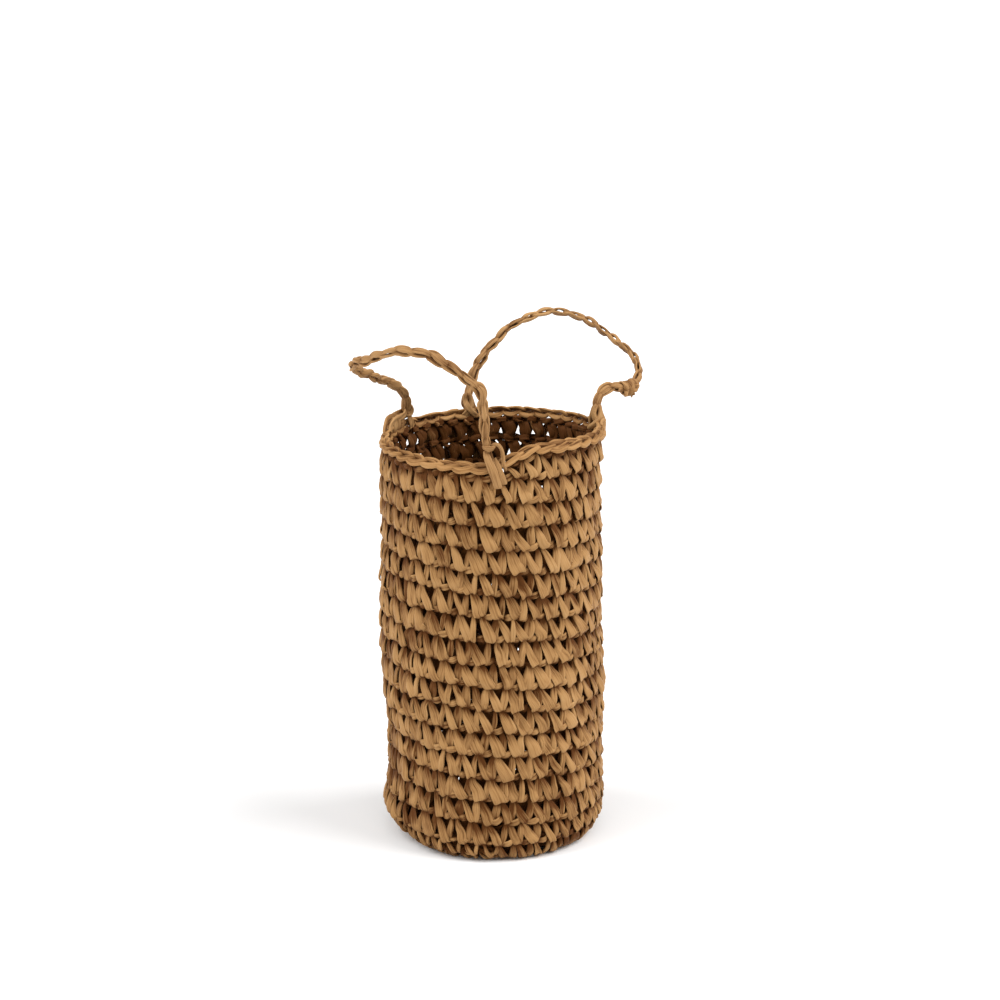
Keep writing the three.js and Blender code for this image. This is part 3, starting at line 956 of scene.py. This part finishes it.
frontKnot = {"seed": 31, "strands": [
    [(-1.4, 2.8, 0.6, 2.4, 0), (-0.8, 1, 2.2, 3.1, 0.1), (0.3, -1.6, 3.3, 3.7, 0.2),
     (2.1, -5.6, 4.2, 4.2, 0.3), (3.9, -10.8, 4.1, 4.6, 0.3), (4.6, -13.6, 3.6, 4.6, 0.3),
     (4.8, -14.3, 2, 4, 0.3), (4.4, -13.2, -0.6, 3, 0.1)],
    [(0.8, 2.4, 0.6, 1.4, -0.5), (2.2, 6, 1.2, 1.6, -0.9), (4.4, 6.4, 1.6, 1.8, 1.2),
     (6.2, 4.2, 1.7, 1.9, 0.6), (6.9, 0.8, 1.7, 2, 0.1), (7.2, -2.2, 1.9, 2, 0.2), (7.8, -4.6, 1.8, 2, 0.5),
     (8.4, -6, 0.8, 1.8, 0.7)],
    [(2.6, -0.6, 1, 2.2, 0.2), (4.2, -3.4, 2.6, 2.8, 0.3), (5.8, -7.2, 3.6, 3.3, 0.3),
     (7, -10.8, 3.5, 3.4, 0.2), (7.4, -12.2, 2.4, 3.2, 0.2), (7.4, -12.2, 0.6, 2.8, 0)],
    [(-0.6, 1.4, -1, 2.4, 0), (-0.4, -2.6, -2.4, 3, 0), (0.2, -6.4, -3, 3.2, 0.1),
     (0.8, -9.4, -2.4, 2.8, 0.1), (1, -9.8, -0.8, 2.4, 0)],
    [(0.4, 2.2, 0.2, 2.6, 0), (1.2, -0.8, 0.6, 3, 0.1), (2.2, -3.8, 1.2, 3, 0.2), (2.8, -6.2, 0.8, 2.6, 0.2)],
]}
leftKnot = {"seed": 32, "strands": [
    [(-0.8, 2.6, 0.2, 2.4, 0.4), (0.6, 0.8, 1.6, 2.8, 2), (3.6, 0.1, 2.3, 3, 5), (6.8, -0.7, 2.6, 3, -5),
     (9.6, -2.3, 2.3, 2.9, -1.8), (11.8, -4.4, 1.4, 2.6, -1.2), (13, -6, 0, 2.2, -1)],
    [(3.4, -2.4, 0.8, 2.4, 1), (5.6, -1, 1.2, 2.7, 1.6), (8.8, -0.3, 1.5, 2.9, 4), (12.6, -0.3, 0.9, 3.1, 9),
     (16.2, -0.8, -0.4, 3, 4), (18.8, -2.7, -1.4, 2.9, 1), (21.2, -5, -2.5, 2.7, 0.7),
     (23, -6.6, -3.9, 2.2, 0.6)],
    [(0.4, 2.4, -1.1, 2.6, 0.4), (2.4, 0.2, -1.7, 3, 2), (6.6, -0.8, -2, 3.2, 5), (11, -0.8, -2.7, 3.2, 9),
     (15, -1.2, -3.6, 3.1, 3), (18.2, -3, -4.4, 2.9, 1), (20.4, -5.4, -5.6, 2.4, 0.7)],
    [(0.6, -2, 1.6, 2.4, 9), (3.4, -2.7, 2.3, 2.8, -6), (6.4, -3.4, 2.2, 2.8, -4), (9, -4.8, 1.4, 2.4, -2)],
    [(8, -3.8, 1, 2.2, 1.4), (10.6, -2.4, 1.6, 2.8, 3), (13.6, -2.2, 1.3, 3, 9), (16.4, -3.4, 0.2, 2.9, 2),
     (18.8, -5.4, -1.2, 2.6, 1)],
    [(4.4, 0.6, -0.6, 2.4, 0), (4, -2.4, -1.4, 3, 0), (4.4, -5.4, -1.6, 3, 0), (5, -7.4, -0.6, 2.4, 0)],
    [(8.4, 0.6, -1.4, 2.4, 0), (8.2, -2.4, -2.2, 3, 0), (8.6, -5.4, -2.4, 3, 0), (9.2, -7.4, -1.2, 2.4, 0)],
    [(12.6, 0.4, -2.2, 2.4, 0), (12.6, -2.6, -3, 3, 0), (13, -5.4, -3.2, 3, 0), (13.4, -7.2, -2, 2.4, 0)],
    [(0.4, 5, -0.4, 2.2, 0.2, 2), (-1.4, 3.8, -1.8, 2.6, 0.2, 2), (-2.2, 1.6, -2.5, 2.8, 0, 2),
     (-1.6, -0.4, -2.1, 2.8, -0.5, 2), (0.4, -1.4, -0.8, 2.6, -2, 2), (3, -1.2, 0.4, 2.2, -9)],
    [(-0.6, 0.8, 1.6, 2.6, 0), (-0.9, -2.2, 2.9, 3.2, 0), (-0.9, -5.4, 3.7, 3.5, 0.1),
     (-0.7, -8.4, 3.2, 3.4, 0.1), (-0.6, -9.4, 1.6, 3, 0.1), (-0.5, -8.8, -0.4, 2.6, 0)],
    [(-0.6, 0.8, -1.4, 2.6, 0), (-1.2, -2.6, -2.4, 3, -0.2), (-1.8, -6, -2.8, 3, -0.2),
     (-2.2, -8.6, -1.6, 2.6, 0)],
]}
rightKnot = {"seed": 33, "strands": [
    [(-0.1, 2, 0, 1.8, -2.6, 6), (-0.9, 4, -0.2, 2.1, -2.6, 6), (-1.8, 0.6, -1.7, 2.6, -0.5, 6),
     (-2.5, -2.8, -1, 2.7, 2.4, 6), (-1.4, -5.4, 0.8, 2.2, 4, 6)],
    [(-0.1, 1.8, 0.1, 1.8, 1.2, 6), (-0.5, 3.8, 1, 2.1, 1.2, 6), (-1.7, 0.8, 1.6, 2.5, -0.6, 6),
     (-3.1, -2, 0.6, 2.7, -3.7, 6), (-3.5, -4.2, -1.4, 2.8, -6, 6), (-2.8, -6, -3.4, 2.6, -6.6, 6),
     (-1.4, -7.2, -4.2, 2.1, -6, 6)],
    [(0, 1.6, 0.2, 1.7, 0.4, 2), (0.2, 3.6, 1.5, 2, 0.4, 2), (-0.9, 0.2, 2.1, 2.5, 1, 4),
     (-2.4, -3, 2.6, 2.8, 1, 6), (-3.6, -6.2, 2.2, 2.9, -1.5, 6), (-4, -9, 1.4, 2.6, -2, 6),
     (-3.2, -10.8, 0.6, 2.2, -2, 6)],
    [(0, 1.6, 0.2, 1.7, 0, 4), (0.2, 3.6, 1.3, 2, 0, 4), (-0.1, -0.4, 2.4, 2.6, 0.6, 3),
     (-0.4, -3.6, 3.6, 2.8, 0.5, 1.5), (-0.6, -7, 4, 3, 0.3, 0.5), (-0.5, -10.4, 3.9, 3.2, 0.1),
     (-0.3, -13, 3, 3, 0.1), (-0.2, -13.4, 1, 2.6, 0)],
    [(0.1, 1.4, -0.1, 2.2, 0, 4), (0.4, 3.4, -0.6, 2.6, 0, 4), (0.8, 0, -1.6, 3, 0, 3),
     (1.2, -4, -2.6, 3.2, 0, 1), (1, -8, -2.8, 3, 0), (0.8, -9.6, -1.4, 2.6, 0)],
    [(0.1, 1.4, 0.1, 2, 0, 4), (0.8, 3.4, 0.9, 2.4, 0, 4), (2, 0.2, 1.4, 2.8, 0.4, 3),
     (3.6, -3, 1.6, 3, 0.8, 1), (5.4, -5, 1.2, 2.8, 1)],
    [(-6.8, -5.2, 0.6, 2.2, -1.6), (-4.8, -3.7, 1.4, 2.6, -2), (-3.2, -3.4, 2.5, 2.8, -4),
     (-0.4, -4.4, 4.4, 2.7, 3), (1.6, -5.8, 4.2, 2.6, 1.2), (2.8, -7.4, 2.8, 2.2, 0.8)],
]}
backKnot = {"seed": 34, "strands": [
    [(0, 1.9, -0.1, 1.7, -0.4), (-0.3, 3.9, -0.9, 2, -0.4), (-1.5, 0.6, -1.5, 2.5, -0.1),
     (-0.8, -2.6, -2.4, 2.7, 0.5), (1, -5, -2.8, 2.7, 0.75), (2.6, -6.8, -2.2, 2.4, 0.8),
     (3.2, -7.6, -1, 2.1, 0.8)],
    [(0.1, 1.8, -0.1, 1.7, 0.2), (0.9, 3.8, -0.6, 2, 0.2), (1.7, 0.8, -1.2, 2.5, -0.1),
     (1, -2, -3, 2.7, -0.6), (-0.9, -4.4, -3.5, 2.8, -0.9), (-2.8, -6.2, -2.9, 2.6, -1),
     (-3.6, -7.2, -1.6, 2.1, -1)],
    [(0, 1.4, 0.1, 1.9, 0), (-0.3, 3.4, 0.8, 2.2, 0), (-0.8, 0, 2, 2.6, 0.1), (-0.4, -3.2, 3.2, 2.9, 0.4),
     (0.6, -6.4, 3.7, 3.1, 0.3), (0.9, -9.4, 3.4, 3, 0.2), (0.8, -10, 1.6, 2.6, 0.1)],
    [(-0.2, 1, 0, 1.7, 0), (-1.2, 3, 0.2, 2, 0), (-2, 0, 0.3, 2.4, -0.2), (-3, -3, 0.8, 2.6, -0.5),
     (-4.6, -5.2, 1, 2.4, -1)],
    [(0.1, 1.3, 0.1, 1.8, 0.2), (1, 3.3, 0.7, 2.1, 0.2), (1.8, 0.2, 1.6, 2.6, 0), (1.2, -2.6, 3.5, 2.8, -0.6),
     (-0.9, -4.9, 4.5, 2.8, -0.9), (-2.8, -6.8, 4.1, 2.6, -1), (-3.7, -7.8, 2.6, 2.2, -1)],
]}
addKnot("knot_front", "frontKnot", frontKnot)
addKnot("knot_left", "leftKnot", leftKnot)
addKnot("knot_right", "rightKnot", rightKnot)
addKnot("knot_back", "backKnot", backKnot)


tailKnot = {
    "radius": 2.4,
    "length": 8.5,
    "width": 2.9,
    "widths": (0.8, 1.15),
    "tints": 0.08,
    "turns": 6,
    "perTurn": 8,  # key points in a turn
    "passes": 3,  # along the cord, to and fro
    "passReach": 0.4,  # share of the length
    "core": 0.8,  # radius under the first turn, growth to the last, and belly, shares
    "growth": 0.45,
    "belly": 0.15,
    "lump": 0.11,  # unevenness of the wraps
    "lean": 0.3,
    "axisSpan": 4,  # points of the cord's line that give its direction
    "seed": 41,
}
frays = {
    "count": 7,
    "length": 3.4,
    "shortest": 0.5,
    "pull": (0.0, -0.2, -0.5),
    "spread": 0.4,
    "root": 0.6,  # how deep they start, share of the knot's radius
    "curl": 1.2,
    "width": 2.4,
    "slim": 0.7,  # share of the width lost at the tip
    "tint": 0.05,
    "points": 5,
}


# the cord's end wound round the cord to and fro, with short torn ends
def addTailKnot():
    rng = np.random.default_rng(tailKnot["seed"])
    box = np.array(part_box("tail_knot")) / mm
    centre = (box[0] + box[1]) / 2
    at, span = np.argmin(np.linalg.norm(rightLine - centre, axis=1)), tailKnot["axisSpan"]
    axis = unit(rightLine[at + span] - rightLine[at - span])
    e1 = unit(np.cross(axis, np.array([0, 0, 1.0])))
    e2 = np.cross(axis, e1)

    def ringAt(theta):
        return e1 * math.cos(theta) + e2 * math.sin(theta)

    reach = tailKnot["passReach"]
    count = tailKnot["turns"] * tailKnot["perTurn"]
    keys = []
    for i in range(count + 1):
        f = i / count
        ring = ringAt(i * 2 * math.pi / tailKnot["perTurn"])
        slide = math.cos(tailKnot["passes"] * math.pi * f)
        fill = tailKnot["core"] + tailKnot["growth"] * f + tailKnot["belly"] * (1 - slide * slide)
        radius = tailKnot["radius"] * (fill + rng.normal(0, tailKnot["lump"]))
        spot = centre + axis * slide * tailKnot["length"] * reach + ring * radius
        across = axis + ring * rng.normal(0, tailKnot["lean"])
        width = tailKnot["width"] * rng.uniform(*tailKnot["widths"])
        keys.append([*spot, *across, width, rng.normal(0, tailKnot["tints"])])
    sweeps = [sweepRibbon(keys, knots["steps"], rng)]
    root = tailKnot["radius"] * frays["root"]
    for _ in range(frays["count"]):
        ring = ringAt(rng.uniform(0, 2 * math.pi))
        way = unit(ring + np.array(frays["pull"]) + axis * rng.normal(0, frays["spread"]))
        foot = centre + axis * tailKnot["length"] * rng.uniform(-reach, reach) + way * root
        curl = unit(np.cross(way, rng.normal(0, 1, 3)))
        length = root + frays["length"] * rng.uniform(frays["shortest"], 1.0)
        keys = [[*(foot + way * length * f + curl * frays["curl"] * f * f), *np.cross(way, curl),
                 frays["width"] * (1 - frays["slim"] * f), frays["tint"]]
                for f in np.linspace(0, 1, frays["points"])]
        sweeps.append(sweepRibbon(keys, knots["steps"], rng))
    obj = ribbonObject("tail_knot_wraps", sweeps, cordRaffia, knots["stripRings"])
    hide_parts("tail_knot")
    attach(obj, "right_loop")
    return obj


tailPiece = addTailKnot()
print("knots tied")


# studio: pale floor, soft light from both sides and above
studio = {
    "floorSize": 60.0,
    "floorColour": (0.88, 0.88, 0.88, 1),
    "skyStrength": 0.35,  # as a light
    "skySeen": 1.0,  # as a backdrop
    "suns": [
        # name, degrees to the right of the front, degrees up, spread in degrees, strength
        ("leftSoftbox", -75, 44, 50, 2.25),
        ("rightSoftbox", 80, 44, 50, 3.0),
        ("frontSoftbox", -5, 56, 40, 0.62),
    ],
}


def addStudio():
    half = studio["floorSize"] / 2
    mesh = bpy.data.meshes.new("floor")
    corners = [(-half, -half, 0), (half, -half, 0), (half, half, 0), (-half, half, 0)]
    mesh.from_pydata(corners, [], [(0, 1, 2, 3)])
    floor = addObject("floor", mesh)
    mat = bpy.data.materials.new("paleFloor")
    mat.use_nodes = True
    shader = mat.node_tree.nodes["Principled BSDF"]
    shader.inputs["Base Color"].default_value = studio["floorColour"]
    shader.inputs["Roughness"].default_value = 0.9
    shader.inputs["Specular IOR Level"].default_value = 0.1
    mesh.materials.append(mat)
    world = bpy.data.worlds.new("studioSky")
    world.use_nodes = True
    tree = world.node_tree
    tree.nodes.clear()
    light, backdrop = (
        addNode(tree, "ShaderNodeBackground", None, {"Color": (1, 1, 1, 1), "Strength": studio[key]})
        for key in ("skyStrength", "skySeen"))
    ray = addNode(tree, "ShaderNodeLightPath")
    either = addNode(tree, "ShaderNodeMixShader")
    output = addNode(tree, "ShaderNodeOutputWorld")
    wire(tree, (ray, "Is Camera Ray", either, "Fac"), (light, "Background", either, 1),
         (backdrop, "Background", either, 2), (either, "Shader", output, "Surface"))
    bpy.context.scene.world = world
    for name, around, up, spread, power in studio["suns"]:
        lamp = bpy.data.lights.new(name, "SUN")
        lamp.angle = math.radians(spread)
        lamp.energy = power
        addObject(name, lamp).rotation_euler = (math.radians(90 - up), 0, math.radians(around))


camera = {
    "place": (0.003623, -1.3338, 0.5103),
    "tiltDown": 14.31,
    "sensor": 36.0,
    "lens": 99.95,
}


def addCamera():
    data = bpy.data.cameras.new("photoCamera")
    data.sensor_fit = "HORIZONTAL"
    data.sensor_width = camera["sensor"]
    data.lens = camera["lens"]
    obj = addObject("photoCamera", data)
    obj.location = camera["place"]
    obj.rotation_euler = (math.radians(90 - camera["tiltDown"]), 0, 0)
    bpy.context.scene.camera = obj


addStudio()
addCamera()
view = bpy.context.scene.view_settings
view.view_transform = "Standard"
view.look = "None"
print("studio set")
